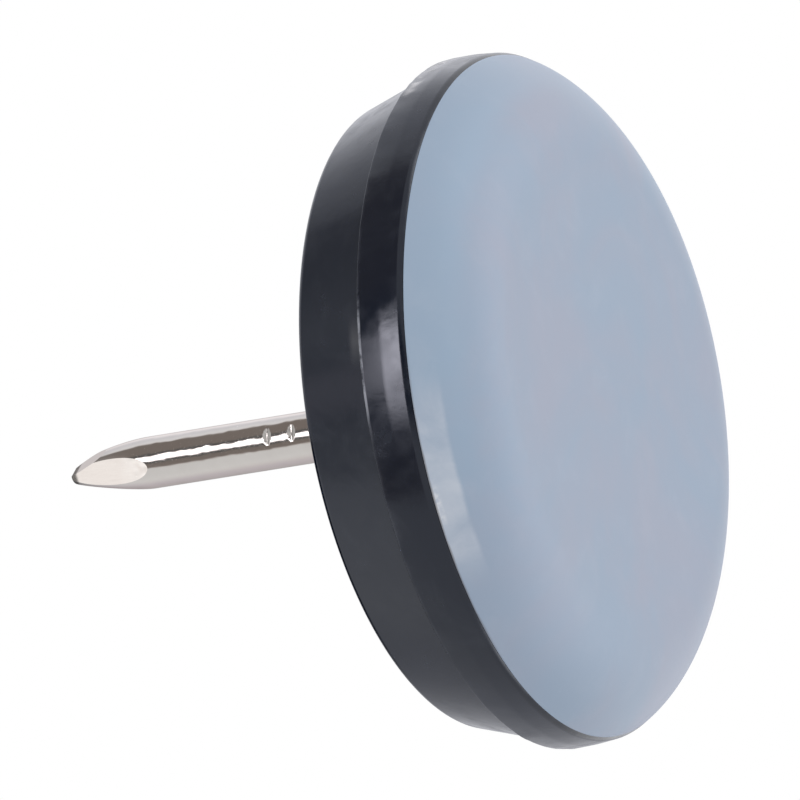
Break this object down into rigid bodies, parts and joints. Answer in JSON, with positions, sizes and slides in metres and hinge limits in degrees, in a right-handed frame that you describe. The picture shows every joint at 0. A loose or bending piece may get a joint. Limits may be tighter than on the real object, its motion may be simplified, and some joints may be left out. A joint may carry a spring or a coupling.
{
  "type": "nail-on furniture glide",
  "caption": "Round nail-on furniture glide: a pale slippery pad with a rounded edge in a black two-tier moulded cup, and a plated wire nail with a diamond point standing out of the back.",
  "frame": {"origin": "centre of the flat sliding face, which rests on the floor", "axes": "+Z along the nail from the sliding face towards the nail's tip; the part is round about Z, and -Y is the side that one flat of the nail's point faces"},
  "size_m": [0.025, 0.025, 0.0218],
  "materials": {
    "pad_ptfe": "satin pale blue-grey PTFE",
    "cup_plastic": "semi-gloss black moulded plastic",
    "nail_steel": "bright plated steel wire with fine drawing lines"
  },
  "bodies": {
    "root": {"glide_pad": "pad_ptfe", "base_cup": "cup_plastic", "nail": "nail_steel"}
  },
  "joints": []
}
